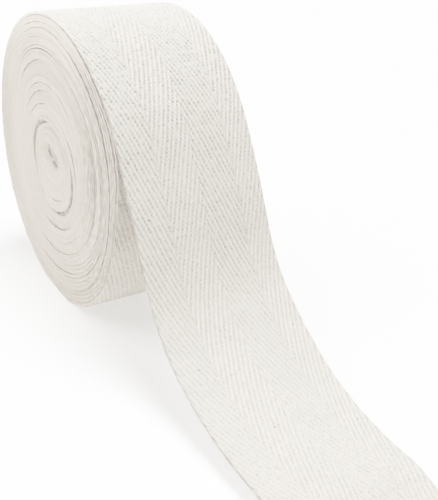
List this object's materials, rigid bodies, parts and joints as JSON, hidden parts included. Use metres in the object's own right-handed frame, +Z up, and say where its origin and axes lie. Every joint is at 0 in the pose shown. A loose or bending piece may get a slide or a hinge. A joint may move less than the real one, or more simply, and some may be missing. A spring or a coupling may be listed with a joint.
{
  "type": "roll of twill tape",
  "caption": "Roll of wide cotton herringbone twill tape standing on its rim, its loose end hanging off the top and run out flat in front.",
  "frame": {"origin": "centre of the small flat spot that the roll stands on, midway along the roll's axis", "axes": "+X along the roll's axis, +Z up, and the loose end runs out towards -Y"},
  "size_m": [0.0501, 0.2307, 0.1065],
  "materials": {
    "roll_cloth": "matte undyed bleached cotton herringbone twill, turns seen edge on at the sides",
    "loose_end_cloth": "matte undyed bleached cotton herringbone twill"
  },
  "bodies": {
    "root": {"wound_roll": "roll_cloth", "loose_end": "loose_end_cloth"}
  },
  "joints": []
}
